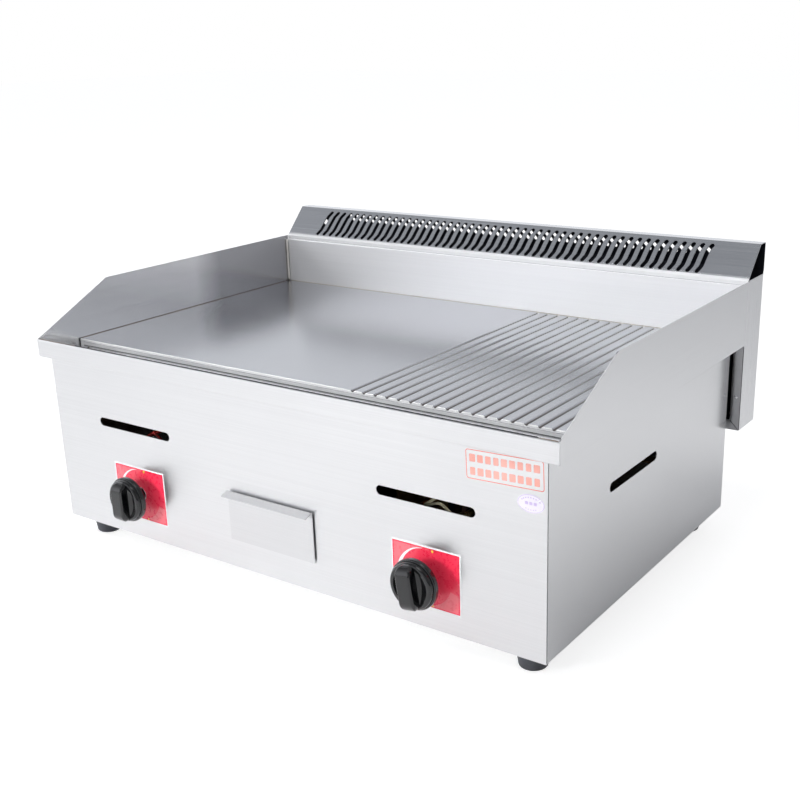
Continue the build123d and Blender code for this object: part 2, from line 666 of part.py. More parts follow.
def grease_drawer():
    """The tray: thin walls, folded rims on both sides and a rolled back edge."""
    x = (DRAWER_X - TRAY_W / 2, DRAWER_X + TRAY_W / 2)
    y = (TRAY_Y, TRAY_Y + DRAWER_L)
    z = (TRAY_TOP - TRAY_H, TRAY_TOP)
    body = block(x, y, z)
    body = fillet(body.edges().filter_by(Axis.Z), 4)
    body = fillet(body.edges().group_by(Axis.Z)[0], 2)
    hollow = block((x[0] + SHEET, x[1] - SHEET), (y[0] + SHEET, y[1] - SHEET), (z[0] + SHEET, z[1] + 1))
    hollow = fillet(hollow.edges().filter_by(Axis.Z), 4 - SHEET)
    return body - hollow


def drawer_front():
    """The flat front, with its top folded forward as a finger lip."""
    face = DRAWER_FACE
    points = [
        (face, DRAWER_TOP - DRAWER_H),
        (face, DRAWER_TOP),
        (face - 10.5, DRAWER_TOP - 4.2),
    ]
    x = (DRAWER_X - DRAWER_W / 2, DRAWER_X + DRAWER_W / 2)
    front = folded(points, x, radius=1.5, side=Side.RIGHT)
    standoff = block((x[0] + 12, x[1] - 12), (face + SHEET, TRAY_Y), (TRAY_TOP - TRAY_H + 6, TRAY_TOP - 4))
    return front + standoff


def drawer_rail(side):
    """A stand that the drawer slides on, with a low wall beside the tray."""
    inner = TRAY_W / 2
    low = BODY_Z + SHEET
    floor = TRAY_TOP - TRAY_H - GAP
    y = (MANIFOLD_Y + MANIFOLD_R + 3, TRAY_Y + DRAWER_L + 10)
    rail = block((inner - 14, inner + 2), y, (floor - SHEET, floor))
    rail += block((inner + 0.8, inner + 2), y, (floor - SHEET, floor + 12))
    rail += block((inner - 14, inner - 14 + SHEET), y, (low, floor))
    rail += block((inner - 14, inner + 2), y, (low, low + SHEET))
    rail = rail if side > 0 else mirror(rail, Plane.YZ)
    return Pos(DRAWER_X, 0, 0) * rail


# Feet


def foot(place):
    """A rubber foot: a tapered plug with a rounded bottom edge and a well for its screw."""
    centred = (Align.CENTER, Align.CENTER, Align.MIN)
    body = Pos(*place, 0) * Cone(FOOT_R_LOW, FOOT_R_TOP, FOOT_H, align=centred)
    body = fillet(body.edges().group_by(Axis.Z)[0], 3.0)
    body = fillet(body.edges().group_by(Axis.Z)[-1], 1.2)
    body -= rod(6.2, 12, (*place, -1), "z")
    return body - rod(3.1, 40, (*place, -1), "z")


def foot_screws():
    group = []
    for place in FOOT_PLACES.values():
        head = rod(5.4, 3.5, (*place, 11 - 3.5), "z")
        shank = rod(3.0, BODY_Z + SHEET + 8 - 10, (*place, 10), "z")
        nut = hexagon(10, 5, (*place, BODY_Z + SHEET), "z")
        group.append(head + shank + nut)
    return Compound(group)


def casing_screws():
    """Pan-head screws in the rear panel's edge, into the side panels' returns."""
    group = []
    for x in (-HALF_BODY + 60, -120, 120, HALF_BODY - 60):
        z = BODY_Z + SHEET + GAP + 6
        head = rod(4, 2.2, (x, REAR_Y, z))
        group.append(fillet(head.edges().group_by(Axis.Y)[-1], 1.2))
    return Compound(group)


# Places that follow from the dimensions above
EXHAUST_W = 140.0
EXHAUST_H = 34.0
EXHAUST_Z = RIM_Z - 46.0
EXHAUST_X = (-255.0, -85.0, 85.0, 255.0)
SPACER_X = (-338.0, -113.0, 113.0, 338.0)
TROUGH_HALF = HALF_BODY - SHEET - GAP
SHELF_Y = PLATE_FRONT + 1.0
TROUGH_FRONT = PANEL_Y + SHEET + GAP
TROUGH_TOP = PLATE_Z - SHEET - SHELF_BEND - 1
SPOUT_R = 13.0
SPOUT_Y = RIM_Y + 36.0
SPOUT_LOW = TRAY_TOP + 3.0
LOUVRE_FRONT = 44.0 - LOUVRE_W
SHIELD_X = 102.0
SHIELD_TOP = RIM_Z - 36.0
INLET_R = 10.4
INLET_L = 18.0
PLUG_R = 8.0
DRAWER_FACE = RIM_Y + 3.6
TRAY_Y = PANEL_Y + 1.5
FOOT_PLACES = {
    "front_left": (-FOOT_X, FOOT_FRONT),
    "front_right": (FOOT_X, FOOT_FRONT),
    "rear_left": (-FOOT_X, FOOT_BACK),
    "rear_right": (FOOT_X, FOOT_BACK),
}
LEAD_BEND = 12.0
LEAD_ROUTES = {
    side: [
        (side * CONTROL_X + 18, MANIFOLD_Y - 12, CONTROL_Z + 6),
        (side * CONTROL_X + 38, MANIFOLD_Y - 12, CONTROL_Z + 6),
        (side * CONTROL_X + 40, MANIFOLD_Y - 16, BURNER_Z + 2),
        (side * CONTROL_X - 2, MANIFOLD_Y - 14, BURNER_Z + 30),
        (side * CONTROL_X - 38, MANIFOLD_Y + 6, BURNER_Z + 12),
        (side * CONTROL_X - 38, LEG_Y0 - 13, BURNER_Z + 12),
    ]
    for side in SIDES.values()
}

save(front_panel(), "front_panel")
save(rear_panel(), "rear_panel")
save(base_panel(), "base_panel")
save(front_rim(), "front_rim")
save(grease_trough(), "grease_trough")
save(trough_ends(), "trough_ends")
save(plate_shelf(), "plate_shelf")
save(drain_spout(), "drain_spout")
save(backsplash(), "backsplash")
save(griddle_plate(), "griddle_plate")
save(centre_beam(), "centre_beam")
save(flue_duct(), "flue_duct")
save(flue_cover(), "flue_cover")
save(flue_screws(), "flue_screws")
save(gas_manifold(), "gas_manifold")
save(inlet_union(), "inlet_union")
save(warning_sticker(), "warning_sticker")
save(oval_sticker(), "oval_sticker")
save(grease_drawer(), "grease_drawer")
save(drawer_front(), "drawer_front")
save(foot_screws(), "foot_screws")
save(casing_screws(), "casing_screws")
for name, place in FOOT_PLACES.items():
    save(foot(place), f"{name}_foot")
for name, side in SIDES.items():
    save(side_panel(side), f"{name}_side_panel")
    save(guard(side), f"{name}_splash_guard")
    save(burner(side), f"{name}_burner")
    save(air_shutter(side), f"{name}_air_shutter")
    save(burner_stand(side), f"{name}_burner_stand")
    save(heat_shield(side), f"{name}_heat_shield")
    save(gas_valve(side), f"{name}_gas_valve")
    save(injector(side), f"{name}_injector")
    save(valve_plug(side), f"{name}_valve_plug")
    save(stem(side), f"{name}_stem")
    save(knob(side), f"{name}_knob")
    save(pilot_tube(side), f"{name}_pilot_tube")
    save(electrode(side), f"{name}_electrode")
    save(ignition_lead(side), f"{name}_ignition_lead")
    save(control_label(side), f"{name}_control_label")
    save(drawer_rail(side), f"{name}_drawer_rail")
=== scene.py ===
"""Looks for the countertop griddle: materials, printed labels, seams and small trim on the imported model."""

import math

import bmesh
import bpy
from mathutils import Matrix, Vector


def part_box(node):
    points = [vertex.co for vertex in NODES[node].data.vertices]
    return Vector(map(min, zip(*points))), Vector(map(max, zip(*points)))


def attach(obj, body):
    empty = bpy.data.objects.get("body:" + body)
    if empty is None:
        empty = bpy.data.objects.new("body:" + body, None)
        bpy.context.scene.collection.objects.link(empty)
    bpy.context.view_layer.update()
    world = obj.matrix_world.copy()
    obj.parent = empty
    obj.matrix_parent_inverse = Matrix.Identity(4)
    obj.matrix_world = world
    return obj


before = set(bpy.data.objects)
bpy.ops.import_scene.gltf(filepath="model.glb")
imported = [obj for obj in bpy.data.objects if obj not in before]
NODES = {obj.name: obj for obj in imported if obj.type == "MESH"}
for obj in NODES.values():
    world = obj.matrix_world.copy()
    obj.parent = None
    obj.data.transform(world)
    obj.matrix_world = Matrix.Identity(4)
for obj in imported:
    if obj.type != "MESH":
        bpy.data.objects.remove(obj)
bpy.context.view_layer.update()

MM = 0.001
SIDES = {"left": -1, "right": 1}

# Places read from the frame
PLATE_LOW, PLATE_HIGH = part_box("griddle_plate")
RIM_LOW, RIM_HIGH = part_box("front_rim")
COVER_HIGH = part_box("flue_cover")[1]
DUCT_LOW, DUCT_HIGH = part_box("flue_duct")
GUARD_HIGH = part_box("right_splash_guard")[1]
DRAWER_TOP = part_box("drawer_front")[1].z
PANEL_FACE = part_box("front_panel")[0].y

# Prints, in mm: x from the middle, z from the rim's top
CONTROL_X = 210.6
CONTROL_Z = -175.5
LABEL_HALF_W = 41.1
LABEL_HALF_H = 32.8
LABEL_BORDER = 1.0  # darker red border inside the white one
STEM_HOLE_R = 8.6
DIAL_R = 31.2
NOTICE_CENTRE = (303.8, -40.1)
NOTICE_HALF = (42.6, 15.0)
NOTICE_TURN = 2.0
SEAL_CENTRE = (332.5, -68.1)
SEAL_HALF = (14.2, 9.0)
FILM_T = 0.2  # thickness of the stickers
LABEL_T = 0.3  # thickness of the control labels
LAYER_T = 0.04  # step from one layer of print to the next

# Edges, in mm from the middle of the rim's top front edge
PLATE_EDGE_X = 362.8
GUARD_REAR_Y = 471.0
GUARD_EDGE_X = 364.4


def at(x, y, z):
    """A place given in mm from the middle of the rim's top front edge, in the row's frame."""
    return Vector((x * MM, RIM_LOW.y + y * MM, RIM_HIGH.z + z * MM))


# Camera


def add_camera():
    """The camera stands to the griddle's right and front, a little above it, rolled slightly."""
    data = bpy.data.cameras.new("camera")
    data.lens = 51.55
    data.shift_x = -0.0382
    data.shift_y = 0.0198
    data.clip_start = 0.01
    camera = bpy.data.objects.new("camera", data)
    bpy.context.scene.collection.objects.link(camera)
    azimuth, elevation, roll = (math.radians(v) for v in (35.04, 18.67, -1.47))
    look = Vector((
        -math.sin(azimuth) * math.cos(elevation),
        math.cos(azimuth) * math.cos(elevation),
        -math.sin(elevation),
    ))
    level = look.cross(Vector((0, 0, 1))).normalized()
    right = Matrix.Rotation(-roll, 4, look) @ level
    up = right.cross(look)
    turn = Matrix((right, up, -look)).transposed().to_4x4()
    camera.matrix_world = Matrix.Translation((0.8207, -1.0943, 0.6101)) @ turn
    bpy.context.scene.camera = camera


# Light and floor


def maths(nt, operation, first, second=0.0):
    node = nt.nodes.new("ShaderNodeMath")
    node.operation = operation
    for socket, value in zip(node.inputs, (first, second)):
        if isinstance(value, bpy.types.NodeSocket):
            nt.links.new(value, socket)
        else:
            socket.default_value = value
    return node.outputs[0]


def add_world():
    """A studio that is bright to the front left, dim to the front right and darker overhead."""
    mean, by_x, by_y, by_xy = 0.85, -0.479, -0.07, 0.517
    overhead, low_z, high_z = 0.3, 0.4, 0.7
    world = bpy.data.worlds.new("studio")
    bpy.context.scene.world = world
    world.use_nodes = True
    nt = world.node_tree
    nt.nodes.clear()
    coords = nt.nodes.new("ShaderNodeTexCoord")
    split = nt.nodes.new("ShaderNodeSeparateXYZ")
    nt.links.new(coords.outputs["Generated"], split.inputs[0])
    x, y, z = (split.outputs[axis] for axis in "XYZ")
    level = maths(nt, "ADD", maths(nt, "MULTIPLY", x, by_x), maths(nt, "MULTIPLY", y, by_y))
    level = maths(nt, "ADD", level, maths(nt, "MULTIPLY", maths(nt, "MULTIPLY", x, y), by_xy))
    level = maths(nt, "ADD", level, mean)
    level = maths(nt, "MULTIPLY", level, spread(nt, z, 1.0, overhead, low_z, high_z))
    studio = nt.nodes.new("ShaderNodeBackground")
    studio.inputs["Color"].default_value = (0.97, 0.99, 1.03, 1)
    nt.links.new(level, studio.inputs["Strength"])
    paper = nt.nodes.new("ShaderNodeBackground")
    paper.inputs["Color"].default_value = (1, 1, 1, 1)
    seen_by = nt.nodes.new("ShaderNodeLightPath")
    blend = nt.nodes.new("ShaderNodeMixShader")
    nt.links.new(seen_by.outputs["Is Camera Ray"], blend.inputs["Fac"])
    nt.links.new(studio.outputs[0], blend.inputs[1])
    nt.links.new(paper.outputs[0], blend.inputs[2])
    out = nt.nodes.new("ShaderNodeOutputWorld")
    nt.links.new(blend.outputs[0], out.inputs["Surface"])


def add_lamp(name, place, aim, size, power, in_steel=False, spread_angle=180):
    """A soft box that lights matt surfaces and stays out of reflections or, if in_steel, the other way."""
    data = bpy.data.lights.new(name, "AREA")
    data.shape = "RECTANGLE"
    data.size, data.size_y = size
    data.energy = power
    data.spread = math.radians(spread_angle)
    lamp = bpy.data.objects.new(name, data)
    bpy.context.scene.collection.objects.link(lamp)
    lamp.location = place
    lamp.rotation_euler = (Vector(aim) - Vector(place)).to_track_quat("-Z", "Y").to_euler()
    lamp.visible_camera = False
    lamp.visible_glossy = in_steel
    lamp.visible_diffuse = not in_steel


def add_floor():
    """White paper that shows a faint shadow under the griddle."""
    mesh = bpy.data.meshes.new("floor")
    half = 14.0
    corners = [(-half, -half, 0), (half, -half, 0), (half, half, 0), (-half, half, 0)]
    mesh.from_pydata(corners, [], [(0, 1, 2, 3)])
    floor = bpy.data.objects.new("floor", mesh)
    bpy.context.scene.collection.objects.link(floor)
    floor.location.z = -0.0002
    mat = bpy.data.materials.new("floor_paper")
    mat.use_nodes = True
    nt = mat.node_tree
    nt.nodes.clear()
    plain = nt.nodes.new("ShaderNodeBsdfDiffuse")
    plain.inputs["Color"].default_value = (0.9, 0.9, 0.9, 1)
    shade = nt.nodes.new("ShaderNodeBsdfDiffuse")
    shade.inputs["Color"].default_value = (0.5, 0.5, 0.5, 1)
    glow = nt.nodes.new("ShaderNodeEmission")
    glow.inputs["Strength"].default_value = 0.78
    lit = nt.nodes.new("ShaderNodeAddShader")
    nt.links.new(shade.outputs[0], lit.inputs[0])
    nt.links.new(glow.outputs[0], lit.inputs[1])
    seen_by = nt.nodes.new("ShaderNodeLightPath")
    blend = nt.nodes.new("ShaderNodeMixShader")
    nt.links.new(seen_by.outputs["Is Camera Ray"], blend.inputs["Fac"])
    nt.links.new(plain.outputs[0], blend.inputs[1])
    nt.links.new(lit.outputs[0], blend.inputs[2])
    out = nt.nodes.new("ShaderNodeOutputMaterial")
    nt.links.new(blend.outputs[0], out.inputs["Surface"])
    mesh.materials.append(mat)


# Material helpers


def new_material(name):
    mat = bpy.data.materials.new(name)
    mat.use_nodes = True
    nt = mat.node_tree
    nt.nodes.clear()
    out = nt.nodes.new("ShaderNodeOutputMaterial")
    bsdf = nt.nodes.new("ShaderNodeBsdfPrincipled")
    nt.links.new(bsdf.outputs[0], out.inputs["Surface"])
    return mat, nt, bsdf


def position(nt, scale=(1, 1, 1)):
    """Object coordinates in metres, stretched by a scale on each axis."""
    coords = nt.nodes.new("ShaderNodeTexCoord")
    mapping = nt.nodes.new("ShaderNodeMapping")
    mapping.inputs["Scale"].default_value = scale
    nt.links.new(coords.outputs["Object"], mapping.inputs["Vector"])
    return mapping.outputs["Vector"]


def noise(nt, vector, scale=1.0, detail=3.0, roughness=0.5):
    node = nt.nodes.new("ShaderNodeTexNoise")
    node.inputs["Scale"].default_value = scale
    node.inputs["Detail"].default_value = detail
    node.inputs["Roughness"].default_value = roughness
    nt.links.new(vector, node.inputs["Vector"])
    return node.outputs["Fac"]


def spread(nt, value, low, high, start=0.3, end=0.7):
    """Maps a texture's middle range, start to end, on to low to high."""
    node = nt.nodes.new("ShaderNodeMapRange")
    node.inputs["From Min"].default_value = start
    node.inputs["From Max"].default_value = end
    node.inputs["To Min"].default_value = low
    node.inputs["To Max"].default_value = high
    nt.links.new(value, node.inputs["Value"])
    return node.outputs["Result"]


def mix(nt, fac, low, high):
    """Mixes two colours, each a constant or a socket, by a socket."""
    node = nt.nodes.new("ShaderNodeMix")
    node.data_type = "RGBA"
    nt.links.new(fac, node.inputs["Factor"])
    for socket, value in ((node.inputs["A"], low), (node.inputs["B"], high)):
        if isinstance(value, bpy.types.NodeSocket):
            nt.links.new(value, socket)
        else:
            socket.default_value = (*value, 1)
    return node.outputs["Result"]


def bump(nt, bsdf, height, distance, strength=1.0):
    node = nt.nodes.new("ShaderNodeBump")
    node.inputs["Distance"].default_value = distance
    node.inputs["Strength"].default_value = strength
    nt.links.new(height, node.inputs["Height"])
    nt.links.new(node.outputs["Normal"], bsdf.inputs["Normal"])


# Noise scales by the axis that the grain runs along
GRAIN = {"x": (3, 900, 900), "y": (900, 3, 900), "z": (900, 900, 3)}


def depth_inside(nt, planes):
    """How far a point lies behind the nearest of some planes, each a point and an inward normal."""
    coords = nt.nodes.new("ShaderNodeTexCoord")
    nearest = None
    for point, normal in planes:
        offset = nt.nodes.new("ShaderNodeVectorMath")
        offset.operation = "SUBTRACT"
        nt.links.new(coords.outputs["Object"], offset.inputs[0])
        offset.inputs[1].default_value = point
        dot = nt.nodes.new("ShaderNodeVectorMath")
        dot.operation = "DOT_PRODUCT"
        nt.links.new(offset.outputs["Vector"], dot.inputs[0])
        dot.inputs[1].default_value = Vector(normal).normalized()
        distance = dot.outputs["Value"]
        nearest = distance if nearest is None else maths(nt, "MINIMUM", nearest, distance)
    return nearest


def region(planes, reach, tint, roughness, haze=0.0):
    """A part of a sheet that looks different, used for painted light, painted shade and a sheet's own tone,
    fading out over a reach in mm behind its planes.
    Haze takes away some of the metal's mirror."""
    return planes, reach, tint, roughness, haze


def brushed(name, along, dark, light, rough=(0.29, 0.315), shade_planes=None, regions=(), metal=1.0):
    """Steel with a fine directional grain, faint smudges, its own regions, and painted shade, near black,
    behind the given shade planes.
    """
    mat, nt, bsdf = new_material(name)
    bsdf.inputs["Metallic"].default_value = metal
    grain = noise(nt, position(nt, GRAIN[along]), 1.0, 3.0, 0.5)
    cloud = noise(nt, position(nt), 7.0, 3.0, 0.5)
    shade = mix(nt, spread(nt, grain, 0, 1), dark, light)
    faint = [c * 0.98 for c in dark]
    colour = mix(nt, spread(nt, cloud, 0.0, 0.4, 0.45, 0.75), shade, faint)
    smudge = noise(nt, position(nt), 16.0, 5.0, 0.6)
    rough = spread(nt, grain, rough[0], rough[1])
    rough = maths(nt, "ADD", rough, spread(nt, smudge, 0.0, 0.02, 0.5, 0.75))
    for planes, reach, tint, roughness, haze in regions:
        near = spread(nt, depth_inside(nt, planes), 1, 0, reach[0] * MM, reach[1] * MM)
        colour = mix(nt, near, colour, tint)
        rough = maths(nt, "MAXIMUM", rough, maths(nt, "MULTIPLY", near, roughness))
        if haze:
            mirror = maths(nt, "SUBTRACT", 1.0, maths(nt, "MULTIPLY", near, haze))
            nt.links.new(mirror, bsdf.inputs["Metallic"])
    # Painted shade: behind the flue's outer skins, the inside of the cover and duct is painted near black and
    # rougher, standing in for its unlit interior.
    if shade_planes:
        inside_shade = spread(nt, depth_inside(nt, shade_planes), 0, 1, 0.3 * MM, 0.8 * MM)
        black = mix(nt, spread(nt, smudge, 0, 1), (0.006, 0.007, 0.011), (0.025, 0.027, 0.036))
        colour = mix(nt, inside_shade, colour, black)
        rough = maths(nt, "ADD", rough, maths(nt, "MULTIPLY", inside_shade, 0.35))
    nt.links.new(colour, bsdf.inputs["Base Color"])
    nt.links.new(rough, bsdf.inputs["Roughness"])
    bump(nt, bsdf, grain, 0.0006 * MM, 0.3)
    return mat


def plate_material():
    """Ground steel: faint scratches, light seasoning clouds, residue and painted shade in the grooves, a sawn
    front edge.
    """
    mat, nt, bsdf = new_material("ground_plate")
    bsdf.inputs["Metallic"].default_value = 1.0
    scratches = noise(nt, position(nt, (4, 700, 20)), 1.0, 4.0, 0.6)
    pores = noise(nt, position(nt), 650.0, 2.0, 0.6)
    cloud = noise(nt, position(nt), 9.0, 5.0, 0.6)
    steel = mix(nt, spread(nt, scratches, 0, 1), (0.585, 0.595, 0.625), (0.635, 0.645, 0.675))
    steel = mix(nt, spread(nt, pores, 0.0, 0.5, 0.50, 0.75), steel, (0.56, 0.57, 0.60))
    seasoned = mix(nt, spread(nt, cloud, 0.0, 0.35, 0.42, 0.75), steel, (0.56, 0.56, 0.58))
    face = [(Vector((0, PLATE_LOW.y, 0)), (0, 1, 0))]
    top = [(Vector((0, 0, PLATE_HIGH.z)), (0, 0, -1))]
    back = depth_inside(nt, face)
    rim = spread(nt, back, 1, 0, 0.9 * MM, 1.3 * MM)
    # Residue and painted shade: every face below the plate's top is painted dark brown near the front, fading
    # to grey 130 mm back, for residue in the grooves and the shade on their walls.
    groove_residue_and_shade = mix(nt, spread(nt, back, 0, 1, 2 * MM, 130 * MM), (0.20, 0.18, 0.17), (0.48, 0.475, 0.47))
    below = spread(nt, depth_inside(nt, top), 0, 1, 0.3 * MM, 1.6 * MM)
    colour = mix(nt, below, seasoned, groove_residue_and_shade)
    sawn = mix(nt, spread(nt, scratches, 0, 1), (0.80, 0.80, 0.81), (0.92, 0.92, 0.92))
    colour = mix(nt, rim, colour, sawn)
    nt.links.new(colour, bsdf.inputs["Base Color"])
    mirror = maths(nt, "SUBTRACT", 1.0, maths(nt, "MULTIPLY", rim, 0.75))
    nt.links.new(mirror, bsdf.inputs["Metallic"])
    rough = maths(nt, "ADD", spread(nt, scratches, 0.18, 0.24), maths(nt, "MULTIPLY", below, 0.15))
    nt.links.new(maths(nt, "MAXIMUM", rough, maths(nt, "MULTIPLY", rim, 0.7)), bsdf.inputs["Roughness"])
    bump(nt, bsdf, pores, 0.0015 * MM, 0.5)
    return mat


def plain_metal(name, dark, light, rough, scale=60.0, bump_mm=0.03):
    """Metal with an even fine mottle, for castings, pipes and screws."""
    mat, nt, bsdf = new_material(name)
    bsdf.inputs["Metallic"].default_value = 1.0
    mottle = noise(nt, position(nt), scale, 4.0, 0.55)
    nt.links.new(mix(nt, spread(nt, mottle, 0, 1), dark, light), bsdf.inputs["Base Color"])
    nt.links.new(spread(nt, mottle, rough[0], rough[1]), bsdf.inputs["Roughness"])
    bump(nt, bsdf, mottle, bump_mm * MM)
    return mat


def heated_material():
    """Steel run through straw, brown and blue by the flame."""
    mat, nt, bsdf = new_material("heat_tinted_steel")
    bsdf.inputs["Metallic"].default_value = 0.9
    drift = noise(nt, position(nt, (8, 8, 14)), 1.0, 4.0, 0.55)
    ramp = nt.nodes.new("ShaderNodeValToRGB")
    tints = (
        (0.25, (0.30, 0.19, 0.11)),
        (0.42, (0.45, 0.27, 0.13)),
        (0.52, (0.33, 0.17, 0.12)),
        (0.62, (0.17, 0.16, 0.22)),
        (0.78, (0.38, 0.36, 0.34)),
    )
    while len(ramp.color_ramp.elements) < len(tints):
        ramp.color_ramp.elements.new(0.5)
    for element, (place, tint) in zip(ramp.color_ramp.elements, tints):
        element.position = place
        element.color = (*tint, 1)
    nt.links.new(drift, ramp.inputs["Fac"])
    nt.links.new(ramp.outputs["Color"], bsdf.inputs["Base Color"])
    fine = noise(nt, position(nt), 220.0, 3.0, 0.6)
    nt.links.new(spread(nt, fine, 0.38, 0.55), bsdf.inputs["Roughness"])
    bump(nt, bsdf, fine, 0.05 * MM)
    return mat


def moulded(name, dark, light, rough, scale=240.0, bump_mm=0.02, coat=0.0, sheen=0.0):
    """Anything without a metal's mirror, from plastic to grease: a slight colour drift, a fine texture."""
    mat, nt, bsdf = new_material(name)
    drift = noise(nt, position(nt), 30.0, 3.0, 0.5)
    fine = noise(nt, position(nt), scale, 3.0, 0.6)
    nt.links.new(mix(nt, spread(nt, drift, 0, 1), dark, light), bsdf.inputs["Base Color"])
    nt.links.new(spread(nt, fine, rough[0], rough[1]), bsdf.inputs["Roughness"])
    bsdf.inputs["Coat Weight"].default_value = coat
    bsdf.inputs["Coat Roughness"].default_value = 0.05
    bsdf.inputs["Sheen Weight"].default_value = sheen
    bump(nt, bsdf, fine, bump_mm * MM)
    return mat


def flue_skin_planes():
    """The outer skins of the flue's cover and duct, as points with inward normals."""
    lip = Vector((0, DUCT_LOW.y, DUCT_HIGH.z))
    cover_flat = 16.6 * MM
    crest = Vector((0, COVER_HIGH.y - cover_flat, COVER_HIGH.z))
    rise = crest - lip
    cover = [
        (lip, (0, rise.z, -rise.y)),
        (crest, (0, 0, -1)),
        (Vector((0, COVER_HIGH.y, 0)), (0, -1, 0)),
        (lip, (0, 1, 0)),
    ]
    duct = [
        (Vector((DUCT_LOW.x, 0, 0)), (1, 0, 0)),
        (Vector((DUCT_HIGH.x, 0, 0)), (-1, 0, 0)),
        (Vector((0, DUCT_LOW.y, 0)), (0, 1, 0)),
        (Vector((0, DUCT_HIGH.y, 0)), (0, -1, 0)),
        (Vector((0, 0, DUCT_LOW.z)), (0, 0, 1)),
    ]
    return cover, duct


